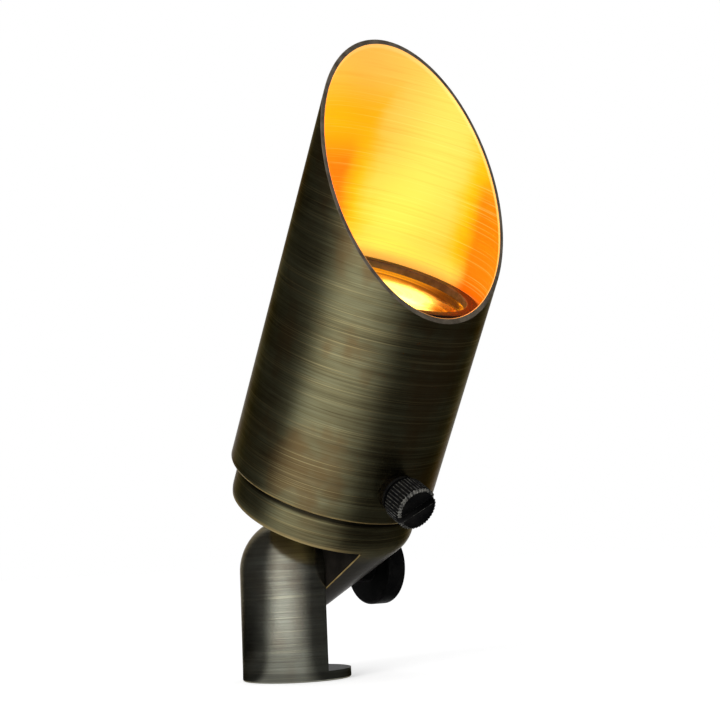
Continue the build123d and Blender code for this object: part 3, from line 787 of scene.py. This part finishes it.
def make_camera():
    """Seen from low on the left, looking slightly up."""
    level = cos(camera_elevation)
    forward = Vector((-sin(camera_azimuth) * level, cos(camera_azimuth) * level, -sin(camera_elevation)))
    right = Vector((cos(camera_azimuth), sin(camera_azimuth), 0))
    up = right.cross(forward)
    image_right = right * cos(camera_roll) + up * sin(camera_roll)
    image_up = up * cos(camera_roll) - right * sin(camera_roll)
    shift_right = (origin_pixel_x - photo_size / 2) / focal_pixels * camera_distance
    shift_up = -(origin_pixel_y - photo_size / 2) / focal_pixels * camera_distance
    place = -(image_right * shift_right + image_up * shift_up + forward * camera_distance)
    turn = Matrix((image_right, image_up, -forward)).transposed().to_4x4()
    data = bpy.data.cameras.new("camera")
    data.sensor_width = sensor_width
    data.lens = sensor_width * focal_pixels / photo_size
    camera = bpy.data.objects.new("camera", data)
    bpy.context.scene.collection.objects.link(camera)
    camera.matrix_world = Matrix.Translation(place) @ turn
    bpy.context.scene.camera = camera


# Millimetres from the floor to the lowest flags, and limits that no turn reaches
flag_lift = 0.1
never = (200, 201)


def towards(turn, height=0.0):
    """Level direction from the object, in degrees to the right of the photograph's camera."""
    angle = radians(-90) + camera_azimuth + radians(turn)
    return Vector((cos(angle), sin(angle), height)).normalized()


def area_light(name, place, target, size, power, colour):
    """Round soft light at a place, turned to its target and not seen by the camera."""
    data = bpy.data.lights.new(name, "AREA")
    data.shape = "DISK"
    data.size = size
    data.energy = power
    data.color = colour
    light = bpy.data.objects.new(name, data)
    bpy.context.scene.collection.objects.link(light)
    direction = Vector(target) - Vector(place)
    light.matrix_world = Matrix.Translation(place) @ direction.to_track_quat("-Z", "Y").to_matrix().to_4x4()
    light.visible_camera = False
    return light


def make_flag(name, rings, cloth):
    """Dark studio flag from rings round the object, seen only in its reflections.

    A ring is its radius, its height, how dark it is at least, the turns between which its left side
    darkens and the same for its right side.
    """
    columns = 180
    points = []
    shades = []
    for radius, height, base, *limits in rings:
        for step in range(columns):
            turn = -180 + 360 * step / columns
            place = towards(turn) * radius
            points.append((place.x / MM, place.y / MM, height / MM + flag_lift))
            shades.append(max(base, flag_shade(turn, *limits)))
    faces = []
    for row in range(len(rings) - 1):
        for step in range(columns):
            nxt = (step + 1) % columns
            low = row * columns
            high = low + columns
            faces.append((low + step, low + nxt, high + nxt, high + step))
    flag = new_piece(name, points, faces, Matrix.Identity(4))
    shade = flag.data.attributes.new("shade", "FLOAT", "POINT")
    shade.data.foreach_set("value", shades)
    flag.data.materials.append(cloth)
    flag.visible_camera = False
    flag.visible_diffuse = False
    flag.visible_transmission = False
    flag.visible_shadow = False


def make_flags():
    """Flags on the floor, walls and roof of the studio, and a low one near the stem."""
    t = Tree("flag_cloth")
    attribute = t.node("Attribute", attribute_name="shade")
    cloth = t.node("BsdfDiffuse")
    cloth.inputs["Color"].default_value = (0.03, 0.03, 0.03, 1)
    clear = t.node("BsdfTransparent")
    blend = t.node("MixShader")
    t.links.new(attribute.outputs["Fac"], blend.inputs["Fac"])
    t.links.new(clear.outputs["BSDF"], blend.inputs[1])
    t.links.new(cloth.outputs["BSDF"], blend.inputs[2])
    t.links.new(blend.outputs["Shader"], t.output.inputs["Surface"])
    make_flag("studio_flags", [
        (0.0165, 0, 0.45, 24, 60, -12, 38), (0.035, 0, 0.55, 24, 60, -12, 38),
        (0.05, 0, 0.6, 24, 60, -12, 38), (0.08, 0, 0, 44, 102, -12, 38),
        (0.14, 0, 0, 42, 100, -12, 38), (0.22, 0, 0, 26, 72, -12, 38),
        (0.30, 0, 0, 24, 66, -12, 38), (0.50, 0, 0, 24, 66, -18, 42), (0.90, 0, 0, 24, 66, -25, 45),
        (0.90, 0.4, 0, 24, 66, -25, 45), (0.90, 0.8, 0, 30, 72, -25, 45), (0.80, 1.2, 0, 38, 78, -25, 45),
        (0.50, 1.5, 0.3, 38, 78, -25, 45), (0.10, 1.6, 0.6, 38, 78, -25, 45)], t.material)
    make_flag("low_flag", [
        (0.062, 0, 0, 24, 66, *never), (0.062, 0.006, 0, 24, 66, *never),
        (0.062, 0.028, 0, *never, *never)], t.material)


def smooth(value, low, high):
    """Smooth step from 0 to 1 between two limits."""
    share = min(1.0, max(0.0, (value - low) / (high - low)))
    return share * share * (3 - 2 * share)


def flag_shade(turn, left_start, left_end, right_start, right_end):
    """How dark the flags are at a direction: clear in front, with a gap behind."""
    left = smooth(-turn, left_start, left_end)
    right = smooth(turn, right_start, right_end)
    behind = smooth(abs(turn), 125, 165)
    return max(right, left) * (1 - behind) * 0.96


def seen_rays(tree_nodes, links):
    """1 for what the camera, metal and glass see, 0 for soft light."""
    path = tree_nodes.new("ShaderNodeLightPath")
    total = path.outputs["Is Camera Ray"]
    for name in ("Is Glossy Ray", "Is Transmission Ray"):
        larger = tree_nodes.new("ShaderNodeMath")
        larger.operation = "MAXIMUM"
        links.new(total, larger.inputs[0])
        links.new(path.outputs[name], larger.inputs[1])
        total = larger.outputs[0]
    return total


def make_stage():
    """White floor that keeps the shadow, and a white world that lights at a plain level."""
    floor = new_piece("floor", [(-4000, -4000, 0), (4000, -4000, 0), (4000, 4000, 0), (-4000, 4000, 0)],
                      [(0, 1, 2, 3)], Matrix.Translation((0, 0, -0.05 * MM)))
    t = Tree("floor_paper")
    set_shader(t.shader, Base_Color=(0.80, 0.80, 0.80), Roughness=0.9, Specular_IOR_Level=0.0,
               Emission_Color=(1.0, 1.0, 1.0))
    t.feed(t.shader.inputs["Emission Strength"], t.math("MULTIPLY", seen_rays(t.nodes, t.links), 0.45))
    floor.data.materials.append(t.material)
    world = bpy.data.worlds.new("world")
    bpy.context.scene.world = world
    world.use_nodes = True
    tree = world.node_tree
    background = tree.nodes["Background"]
    background.inputs["Color"].default_value = (1, 1, 1, 1)
    level = tree.nodes.new("ShaderNodeMapRange")
    level.inputs["To Min"].default_value = 0.70
    level.inputs["To Max"].default_value = 1.0
    tree.links.new(seen_rays(tree.nodes, tree.links), level.inputs["Value"])
    tree.links.new(level.outputs["Result"], background.inputs["Strength"])


make_camera()
make_stage()
make_flags()
key = area_light("key_light", towards(-30, 0.35) * 1.1, (0, 0, 0.09), 0.5, 8.0, (1, 1, 1))
key.visible_glossy = False

# The lamp's own light rides with the head: a wide glow at the lens and a narrower beam
lamp_colour = (1.0, 0.80, 0.50)
glow_height = 0.0923
glow_place = axis_place @ Vector((0, 0, glow_height))
# Name, width in metres, power in watts, spread in degrees, and how far the aim leans, in metres
lamp_lights = (("lamp_glow", 0.038, 0.003, 180, 0.0), ("lamp_beam", 0.030, 0.007, 110, 0.05))
for name, size, power, spread, lean in lamp_lights:
    light = area_light(name, glow_place, axis_place @ Vector((0, lean, 0.2)), size, power, lamp_colour)
    light.data.spread = radians(spread)
    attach(light, "head")

bpy.context.scene.view_settings.view_transform = "Standard"
